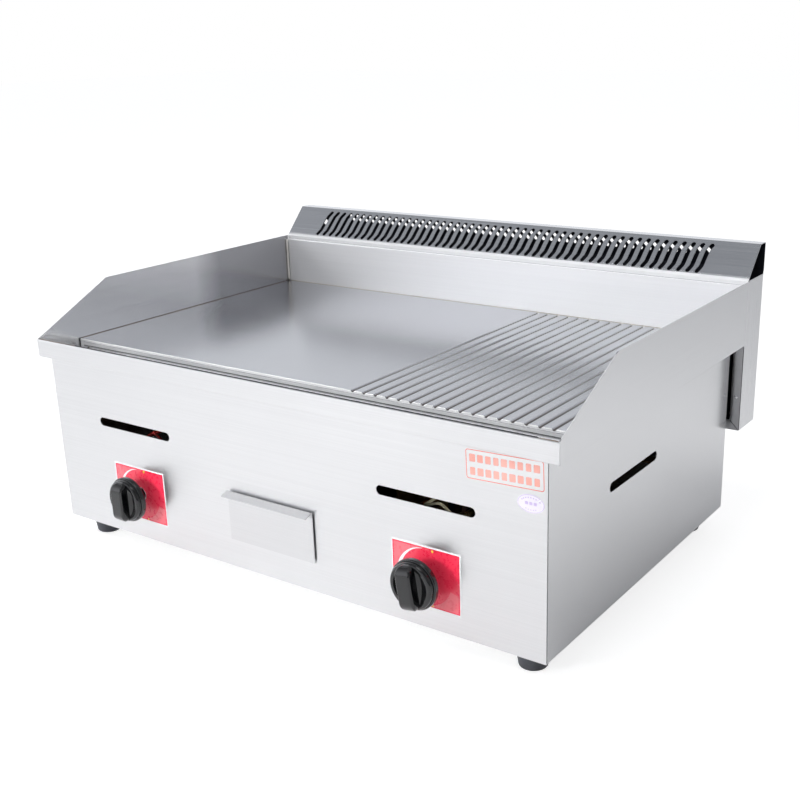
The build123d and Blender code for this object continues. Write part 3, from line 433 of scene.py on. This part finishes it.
def make_materials():
    bright = (0.85, 0.85, 0.86)
    brighter = (0.89, 0.89, 0.90)
    cover_skins, duct_skins = flue_skin_planes()
    below_lip = [(Vector((0, 0, DUCT_HIGH.z)), (0, 0, 1))]
    below_crest = [(Vector((0, 0, COVER_HIGH.z)), (0, 0, -1))]
    duct_front = [(Vector((0, DUCT_LOW.y, 0)), (0, 1, 0))]
    guard_rear = [(Vector((0, at(0, GUARD_REAR_Y, 0).y, 0)), (0, -1, 0))]
    guard_outside = [(Vector((-GUARD_HIGH.x, 0, 0)), (1, 0, 0))]
    drawer_top = [(Vector((0, 0, DRAWER_TOP)), (0, 0, -1))]
    # Painted light: the cover's lower lip and the foot of its slope, up to 5 mm above the duct's top, are
    # painted lighter and less mirror-like than the rest of the cover.
    foot = region(below_lip, (1, 5), (0.86, 0.86, 0.87), 0.5, 0.6)
    # Painted light: the cover's flat top is painted lighter than its slope.
    crest = region(below_crest, (0.2, 0.6), (0.90, 0.91, 0.93), 0.2)
    flange = region(duct_front, (0.4, 0.8), (0.36, 0.36, 0.37), 0.3)
    # Painted shade: the rear 150 mm of the left guard, fading out by 200 mm, is painted darker than the rest
    # of the same sheet.
    painted_rear_shade = region(guard_rear, (150, 200), (0.46, 0.46, 0.48), 0.2)
    outside = region(guard_outside, (0.4, 0.6), (0.87, 0.87, 0.88), 0.2)
    handle = region(drawer_top, (5.5, 7.5), (0.66, 0.66, 0.67), 0.5, 0.4)
    satin = ((0.91, 0.91, 0.92), (0.94, 0.94, 0.95))
    bevel = ((0.79, 0.79, 0.80), (0.83, 0.83, 0.84))
    cover = ((0.64, 0.66, 0.70), (0.74, 0.76, 0.80))
    phenolic = ((0.002, 0.002, 0.003), (0.005, 0.005, 0.006))
    rubber = ((0.050, 0.051, 0.061), (0.078, 0.079, 0.092))
    edge_red = ((0.76, 0.006, 0.045), (0.82, 0.010, 0.055))
    red = ((0.84, 0.030, 0.075), (0.90, 0.042, 0.092))
    pink = ((0.84, 0.120, 0.160), (0.90, 0.165, 0.200))
    yellow = ((0.82, 0.62, 0.06), (0.90, 0.72, 0.12))
    pale_red = ((0.82, 0.34, 0.28), (0.88, 0.46, 0.40))
    dark_grease = ((0.11, 0.075, 0.055), (0.24, 0.17, 0.125))
    pale_grease = ((0.40, 0.35, 0.29), (0.52, 0.47, 0.41))
    grime_and_shade = ((0.012, 0.013, 0.020), (0.045, 0.042, 0.046))
    printed_gloss = (0.24, 0.34)
    greasy = ((0.30, 0.60), 500.0, 0.2)
    return {
        "sheet_x": brushed("steel_grain_x", "x", bright, brighter),
        "sheet_y": brushed("steel_grain_y", "y", bright, brighter, (0.21, 0.25)),
        "guard_y": brushed("steel_guard", "y", bright, brighter, (0.19, 0.22), regions=[painted_rear_shade, outside]),
        "satin": brushed("steel_satin", "x", *satin, (0.42, 0.47), metal=0.5),
        "bevel": brushed("steel_bevel", "x", *bevel, (0.30, 0.34), regions=[handle]),
        "cover": brushed("steel_cover", "x", *cover, (0.19, 0.25), cover_skins, [foot, crest]),
        "duct": brushed("steel_duct", "z", bright, brighter, (0.26, 0.32), duct_skins, [flange]),
        "zinc": plain_metal("zinc_sheet", (0.56, 0.57, 0.58), (0.70, 0.71, 0.72), (0.34, 0.46), 45.0),
        "plate": plate_material(),
        "heated": heated_material(),
        "pipe": moulded("pipe_paint", (0.05, 0.052, 0.055), (0.09, 0.092, 0.095), (0.40, 0.55), 300.0, 0.04),
        "brass": plain_metal("turned_brass", (0.66, 0.48, 0.20), (0.80, 0.62, 0.30), (0.22, 0.34)),
        "cast": plain_metal("cast_alloy", (0.48, 0.48, 0.48), (0.62, 0.62, 0.62), (0.42, 0.60), 160.0, 0.12),
        "plated": plain_metal("plated_steel", (0.66, 0.66, 0.67), (0.78, 0.78, 0.79), (0.16, 0.26)),
        # The corner welds are real; their matt bright cream is a painted highlight.
        "weld": moulded("weld_bead_painted_bright", (0.80, 0.77, 0.71), (0.92, 0.90, 0.86), (0.40, 0.55), 300.0, 0.03),
        "copper": plain_metal("drawn_copper", (0.66, 0.30, 0.15), (0.82, 0.42, 0.24), (0.20, 0.34)),
        "ceramic": moulded("glazed_ceramic", (0.80, 0.77, 0.70), (0.90, 0.88, 0.83), (0.15, 0.25), coat=0.4),
        "lead_red": moulded("red_silicone", (0.45, 0.03, 0.03), (0.60, 0.06, 0.05), (0.45, 0.60)),
        "lead_cream": moulded("cream_silicone", (0.76, 0.68, 0.46), (0.86, 0.79, 0.58), (0.45, 0.60)),
        "knob": moulded("black_phenolic", *phenolic, (0.12, 0.15), 90.0, 0.002, coat=0.5),
        "rubber": moulded("foot_rubber", *rubber, (0.62, 0.80), 420.0, 0.06, sheen=0.2),
        "edge_red": moulded("label_edge_print", *edge_red, printed_gloss, coat=0.3),
        "red": moulded("label_red_print", *red, printed_gloss, coat=0.3),
        "pink": moulded("label_pink_print_and_sheen", *pink, printed_gloss, coat=0.3),
        "white": moulded("label_white_print", (0.84, 0.85, 0.87), (0.90, 0.91, 0.93), (0.22, 0.32), coat=0.3),
        "yellow": moulded("label_yellow_print", *yellow, (0.22, 0.32), coat=0.3),
        "film": plain_metal("clear_film", (0.88, 0.88, 0.89), (0.94, 0.94, 0.95), (0.30, 0.38), 30.0, 0.01),
        "sticker_red": moulded("sticker_red_print", (0.80, 0.17, 0.12), (0.86, 0.25, 0.19), (0.25, 0.36)),
        "sticker_pale_red": moulded("sticker_block_print", *pale_red, (0.25, 0.36), 900.0),
        "violet": moulded("sticker_violet_print", (0.50, 0.40, 0.66), (0.62, 0.52, 0.76), (0.25, 0.36)),
        "pale_violet": moulded("sticker_pale_print", (0.78, 0.74, 0.84), (0.86, 0.82, 0.90), (0.25, 0.36)),
        "residue": moulded("dried_grease", *dark_grease, *greasy),
        "pale_residue": moulded("thin_grease", *pale_grease, *greasy),
        # Painted highlight: a matt near-white for the lines along the guards' sloped and top edges.
        "edge_highlight": moulded("painted_edge_highlight", (0.86, 0.86, 0.87), (0.93, 0.93, 0.94), (0.30, 0.40)),
        "faint_line": moulded("faint_seam", (0.42, 0.42, 0.44), (0.52, 0.52, 0.54), (0.40, 0.55)),
        # Dark grime for joint lines and seams, also used for the painted shadow line behind the rim.
        "grime_and_shade": moulded("dark_grime_and_shade", *grime_and_shade, (0.35, 0.60), 500.0, 0.2),
    }


NODE_FINISH = {
    "sheet_x": ["front_panel", "front_rim", "rear_panel"],
    "sheet_y": ["left_side_panel", "right_side_panel", "right_splash_guard"],
    "guard_y": ["left_splash_guard"],
    "satin": ["backsplash", "plate_shelf"],
    "bevel": ["drawer_front"],
    "duct": ["flue_duct"],
    "cover": ["flue_cover"],
    "plate": ["griddle_plate"],
    "zinc": [
        "base_panel",
        "grease_trough",
        "trough_ends",
        "drain_spout",
        "grease_drawer",
        "left_drawer_rail",
        "right_drawer_rail",
        "centre_beam",
    ],
    "heated": [
        f"{side}_{part}"
        for part in ("heat_shield", "burner", "burner_stand", "air_shutter")
        for side in SIDES
    ],
    "pipe": ["gas_manifold"],
    "brass": ["inlet_union", "left_injector", "right_injector", "left_valve_plug", "right_valve_plug"],
    "cast": ["left_gas_valve", "right_gas_valve"],
    "plated": ["left_stem", "right_stem", "flue_screws", "foot_screws", "casing_screws"],
    "copper": ["left_pilot_tube", "right_pilot_tube"],
    "ceramic": ["left_electrode", "right_electrode"],
    "lead_red": ["left_ignition_lead"],
    "lead_cream": ["right_ignition_lead"],
    "knob": ["left_knob", "right_knob"],
    "rubber": ["front_left_foot", "front_right_foot", "rear_left_foot", "rear_right_foot"],
    "white": ["left_control_label", "right_control_label"],
    "film": ["warning_sticker"],
    "pale_violet": ["oval_sticker"],
}


def finish_nodes():
    for finish, names in NODE_FINISH.items():
        for name in names:
            data = NODES[name].data
            data.materials.clear()
            data.materials.append(MATERIALS[finish])


# Mesh helpers


def mesh_object(name, bm, material, body="root", smooth=False):
    """A piece that rides a body: the casing, unless told otherwise."""
    mesh = bpy.data.meshes.new(name)
    bmesh.ops.recalc_face_normals(bm, faces=bm.faces)
    bm.to_mesh(mesh)
    bm.free()
    piece = bpy.data.objects.new(name, mesh)
    bpy.context.scene.collection.objects.link(piece)
    mesh.materials.append(material)
    if smooth:
        for polygon in mesh.polygons:
            polygon.use_smooth = True
    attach(piece, body)
    return piece


def turned(point, centre, degrees):
    """A point turned about the origin, then carried to a centre, all as (x, z)."""
    c, s = math.cos(math.radians(degrees)), math.sin(math.radians(degrees))
    return centre[0] + point[0] * c - point[1] * s, centre[1] + point[0] * s + point[1] * c


def printed(name, outlines, centre, layer, material, slot, turn=0.0, base=LABEL_T):
    """Thin print on the front panel, and the painted sheen on the control labels' corners. Outlines are
    closed lists of (x, z) in mm round the centre.
    """
    bm = bmesh.new()
    front = PANEL_FACE - (base + LAYER_T * layer) * MM
    for outline in outlines:
        ring = []
        for point in outline:
            x, z = turned(point, centre, turn)
            ring.append(bm.verts.new((x * MM, front, RIM_HIGH.z + z * MM)))
        bm.faces.new(ring)
    bmesh.ops.remove_doubles(bm, verts=bm.verts, dist=1e-6)
    raised = bmesh.ops.extrude_face_region(bm, geom=list(bm.faces))
    back = [v for v in raised["geom"] if isinstance(v, bmesh.types.BMVert)]
    bmesh.ops.translate(bm, verts=back, vec=(0, (LAYER_T - 0.005) * MM, 0))
    return mesh_object(name, bm, material)


def polar_band(inner, outer, start=0.0, stop=360.0, stops=()):
    """Quads between two outlines given as radius by angle."""
    count = max(2, int((stop - start) / 4))
    angles = [start + (stop - start) * i / count for i in range(count + 1)]
    angles = sorted(set(angles) | {a for a in stops if start < a < stop})
    rays = [(math.cos(math.radians(a)), math.sin(math.radians(a)), a) for a in angles]
    quads = []
    for (c0, s0, a0), (c1, s1, a1) in zip(rays, rays[1:]):
        start_side = [(c0 * inner(a0), s0 * inner(a0)), (c0 * outer(a0), s0 * outer(a0))]
        end_side = [(c1 * outer(a1), s1 * outer(a1)), (c1 * inner(a1), s1 * inner(a1))]
        quads.append(start_side + end_side)
    return quads


def circle(radius):
    """A circle's radius by angle."""
    return lambda angle: radius


def rectangle(half_w, half_h):
    """A rectangle's radius by angle."""
    def radius(angle):
        c, s = abs(math.cos(math.radians(angle))), abs(math.sin(math.radians(angle)))
        return min(half_w / max(c, 1e-6), half_h / max(s, 1e-6))
    return radius


def rounded(half_w, half_h, corner, x=0.0, z=0.0):
    """A rounded rectangle as a closed outline."""
    points = []
    for quarter, (sx, sz) in enumerate(((1, 1), (-1, 1), (-1, -1), (1, -1))):
        for step in range(5):
            a = math.radians(90 * quarter + 22.5 * step)
            points.append((
                x + sx * (half_w - corner) + corner * math.cos(a),
                z + sz * (half_h - corner) + corner * math.sin(a),
            ))
    return points


def oval(half_w, half_h, x=0.0, z=0.0, count=40):
    steps = (2 * math.pi * i / count for i in range(count))
    return [(x + half_w * math.cos(a), z + half_h * math.sin(a)) for a in steps]


def strip(outer, inner):
    """Quads between two closed outlines with the same number of points."""
    count = len(outer)
    return [[outer[i], outer[(i + 1) % count], inner[(i + 1) % count], inner[i]] for i in range(count)]


def add_control_prints():
    """A red field in a white border, pale pink corners round the dial painted as a sheen, a flame-size wedge
    and small marks.
    """
    m = MATERIALS
    hole = circle(STEM_HOLE_R)
    dial = circle(DIAL_R)
    corner = math.degrees(math.atan2(LABEL_HALF_H, LABEL_HALF_W))
    corners = (corner, 180 - corner, 180 + corner, 360 - corner)
    outer = rectangle(LABEL_HALF_W, LABEL_HALF_H)
    inner = rectangle(LABEL_HALF_W - LABEL_BORDER, LABEL_HALF_H - LABEL_BORDER)
    around_dial = rectangle(LABEL_HALF_W - 1.5, LABEL_HALF_H - 1.5)
    pale_angles = ((100, 186), (285, 343))
    wedge_start, wedge_stop = 97, 196

    def wedge_edge(angle):
        """The wedge widens as it goes round the dial."""
        return DIAL_R + 0.3 + (angle - wedge_start) * 0.054

    for side, sign in SIDES.items():
        centre = (sign * CONTROL_X, CONTROL_Z)
        field = polar_band(hole, outer, stops=corners)
        inset = polar_band(hole, inner, stops=corners)
        printed(f"{side}_label_edge", field, centre, 1, m["edge_red"], "label_red")
        printed(f"{side}_label_field", inset, centre, 2, m["red"], "label_red")
        # Painted sheen: pale pink bands round the dial, at the top left and bottom right, stand in for the
        # floor's reflection on the glossy label.
        pale = []
        for start, stop in pale_angles:
            pale += polar_band(dial, around_dial, start, stop, corners)
        printed(f"{side}_label_corner_sheen", pale, centre, 3, m["pink"], "label_red")
        wedge = polar_band(dial, wedge_edge, wedge_start, wedge_stop)
        printed(f"{side}_label_wedge", wedge, centre, 4, m["white"], "label_red")
        marks = [rounded(2.6, 0.45, 0.4, 2.4, 31.0), rounded(2.0, 0.4, 0.35, 2.6, -31.2)]
        printed(f"{side}_label_dashes", marks, centre, 4, m["pink"], "label_red")
        dots = [oval(1.3, 1.6, 8.7, 30.3, 16), oval(0.9, 1.0, 8.2, -31.0, 16)]
        printed(f"{side}_label_dots", dots, centre, 4, m["yellow"], "label_red")


def add_sticker_prints():
    """Plain blocks in a red frame, and an oval seal with small plain marks."""
    m = MATERIALS
    half_w, half_h = NOTICE_HALF
    line = 0.8
    frame_line = strip(rounded(half_w, half_h, 2.6), rounded(half_w - line, half_h - line, 1.9))
    on_notice = ("sticker_white", NOTICE_TURN, FILM_T)
    printed("notice_frame", frame_line, NOTICE_CENTRE, 1, m["sticker_red"], *on_notice)
    blocks = []
    for row, z in enumerate((6.5, -6.9)):
        for i in range(9):
            wide = 3.4 - 0.5 * ((i * 5 + row * 3) % 4) / 3
            blocks.append(rounded(wide, 3.9, 1.0, -35.3 + 8.8 * i, z))
    printed("notice_blocks", blocks, NOTICE_CENTRE, 1, m["sticker_pale_red"], *on_notice)
    half_w, half_h = SEAL_HALF
    line = 0.5
    seal = strip(oval(half_w, half_h), oval(half_w - line, half_h - line))
    for i in range(9):
        a = math.radians(150 - 15 * i)
        seal.append(oval(0.75, 0.75, 11.0 * math.cos(a), 6.0 * math.sin(a), 10))
    for i in range(5):
        a = math.radians(238 + 16 * i)
        seal.append(oval(0.6, 0.6, 10.0 * math.cos(a), 6.2 * math.sin(a), 10))
    seal += [rounded(1.7, 1.5, 0.6, 4.6 * i, 0.2) for i in (-1, 0, 1)]
    printed("seal_marks", seal, SEAL_CENTRE, 1, m["violet"], "sticker_violet", 0.0, FILM_T)
    scuff = [rounded(2.6, 0.5, 0.4)]
    scuff_centre = (SEAL_CENTRE[0] + 8.7, SEAL_CENTRE[1] + 4.5)
    printed("seal_scuff", scuff, scuff_centre, 2, m["film"], "sticker_violet", 38.0, FILM_T)


def bead(name, path, radius, material, wobble=0.3, seed=0.0):
    """An uneven bead along a path of places, in metres: weld, residue, joint lines, and painted shadow and
    highlight lines.
    """
    points = []
    for start, end in zip(path, path[1:]):
        steps = max(1, round((end - start).length / (radius * 2.2)))
        points += [start.lerp(end, i / steps) for i in range(steps)]
    points.append(path[-1])
    bm = bmesh.new()
    rings = []
    sides = 7
    for i, point in enumerate(points):
        along = (points[min(i + 1, len(points) - 1)] - points[max(i - 1, 0)]).normalized()
        across = along.cross(Vector((0, 0, 1)) if abs(along.z) < 0.9 else Vector((0, 1, 0))).normalized()
        up = across.cross(along)
        lump = 1 + wobble * 0.5 * (math.sin(i * 1.7 + seed) + math.sin(i * 0.61 + 2.3 * seed))
        end_taper = min(1.0, 0.35 + 0.65 * min(i, len(points) - 1 - i))
        size = radius * lump * end_taper
        ring = []
        for k in range(sides):
            a = 2 * math.pi * k / sides
            offset = across * math.cos(a) * size + up * math.sin(a) * size
            ring.append(bm.verts.new(point + offset))
        rings.append(ring)
    for low, high in zip(rings, rings[1:]):
        for k in range(sides):
            bm.faces.new((low[k], low[(k + 1) % sides], high[(k + 1) % sides], high[k]))
    bm.faces.new(rings[0])
    bm.faces.new(rings[-1])
    return mesh_object(name, bm, material, smooth=True)


def add_seams():
    """Residue round the plate, a painted shadow line behind the rim with residue at its ends, the plate's
    joints, corner welds painted bright, and painted highlight lines along the guards' edges.
    """
    m = MATERIALS
    behind = 3.0
    # Painted shadow: a dark bead behind the rim's hem stands in for the shade down in the trough; the brown
    # beads at its ends are residue.
    middle = [at(-298, behind, -0.2), at(342, behind, -0.2)]
    left_end = [at(-363.2, behind, -0.5), at(-298, behind, -0.6)]
    right_end = [at(342, behind, -0.6), at(363.2, behind, -0.4)]
    bead("rim_painted_shadow", middle, 0.9 * MM, m["grime_and_shade"], 0.15)
    bead("rim_residue_left", left_end, 0.7 * MM, m["residue"], 0.3)
    bead("rim_residue_right", right_end, 0.7 * MM, m["residue"], 0.3, seed=1)
    top = (PLATE_HIGH.z - RIM_HIGH.z) / MM
    for side, sign in SIDES.items():
        x = sign * PLATE_EDGE_X
        path = [at(x, 66, top - 0.3), at(x, 464, top - 0.3)]
        bead(f"{side}_plate_residue", path, 0.5 * MM, m["residue"], 0.2, seed=sign)
        # A corner weld, painted bright cream as a highlight.
        corner = [at(sign * 362.2, 466.4, top), at(sign * 362.2, 466.4, 51)]
        bead(f"{side}_corner_weld", corner, 1.6 * MM, m["weld"], 0.10, seed=2)
        foot = [at(sign * 361.4, 465.2, top + 0.3), at(sign * 361.8, 465.4, top + 2.4)]
        bead(f"{side}_corner_residue", foot, 0.9 * MM, m["residue"], 0.3, seed=3)
    face = (PLATE_LOW.y - RIM_LOW.y) / MM - 0.1
    for name, drop, tone in (("upper", 3.2, "faint_line"), ("lower", 7.6, "grime_and_shade")):
        path = [at(-356, face, top - drop), at(356, face, top - drop)]
        bead(f"plate_{name}_joint", path, 0.28 * MM, m[tone], 0.15, seed=drop)
    for side, sign in SIDES.items():
        x = sign * GUARD_EDGE_X
        slope = [at(x, 4, 1.8), at(x, 60, 29.0), at(x, 112.6, 54.6)]
        ridge = [at(x, 121, 56.3), at(x, 470, 56.3)]
        # Painted highlights along the guard's sloped and top edges.
        bead(f"{side}_slope_edge", slope, 0.45 * MM, m["edge_highlight"], 0.05)
        bead(f"{side}_ridge_edge", ridge, 0.28 * MM, m["edge_highlight"], 0.05)
    path = [at(-360, 467.3, top - 0.1), at(360, 467.3, top - 0.1)]
    bead("rear_plate_residue", path, 0.45 * MM, m["pale_residue"], 0.2, seed=4)


def add_flange_details():
    """Mitred corners and a rivet on the duct's flange, and the seams between the casing's sheets."""
    m = MATERIALS
    line = 0.3 * MM
    behind_guard = GUARD_REAR_Y + 0.2
    for side, sign in SIDES.items():
        seams = {
            "corner_seam": [at(sign * 350.0, 7.9, -23), at(sign * 350.0, 7.9, -232.5)],
            "guard_seam": [at(sign * 364.6, behind_guard, -21), at(sign * 364.6, behind_guard, 55)],
            "flange_seam": [at(sign * 363.2, 471.3, -131), at(sign * 363.2, 471.3, -24)],
        }
        for name, path in seams.items():
            bead(f"{side}_{name}", path, line, m["grime_and_shade"], 0.05)
    front = (DUCT_LOW.y - RIM_LOW.y) / MM - 0.12
    low = (DUCT_LOW.z - RIM_HIGH.z) / MM
    for side, sign in SIDES.items():
        mitre = [at(sign * 350.9, front, low + 12.4), at(sign * 362.4, front, low + 0.9)]
        bead(f"{side}_mitre", mitre, 0.4 * MM, m["grime_and_shade"], 0.1)
        bm = bmesh.new()
        bmesh.ops.create_uvsphere(bm, u_segments=20, v_segments=10, radius=2.3 * MM)
        for v in bm.verts:
            v.co.y *= 0.45
        bmesh.ops.translate(bm, verts=bm.verts, vec=at(sign * 357.2, front + 0.3, -89.2))
        mesh_object(f"{side}_flange_rivet", bm, m["plated"], smooth=True)


add_camera()
bpy.context.scene.view_settings.view_transform = "Standard"
MATERIALS = make_materials()
add_world()
add_lamp("soft_box", (-0.6, -1.2, 2.8), (-0.6, -1.2, 0), (2.0, 2.0), 60)
add_lamp("side_box", (0.62, 0.35, 0.45), (0.62, 0.35, 0), (0.25, 0.8), 0.3)
add_lamp("label_box", (-1.2, -2.3, 0.8), (0, -0.25, 0.13), (0.5, 0.5), 1.0, spread_angle=24)
add_lamp("top_box", (0.5, -0.9, 2.4), (0, 0, 0.2), (0.8, 0.8), 7, in_steel=True)
for sign in SIDES.values():
    add_lamp(f"inner_light_{sign}", (sign * 0.30, -0.19, 0.20), (sign * 0.21, 0.05, 0.13), (0.05, 0.05), 0.10)
add_floor()
finish_nodes()
add_control_prints()
add_sticker_prints()
add_seams()
add_flange_details()
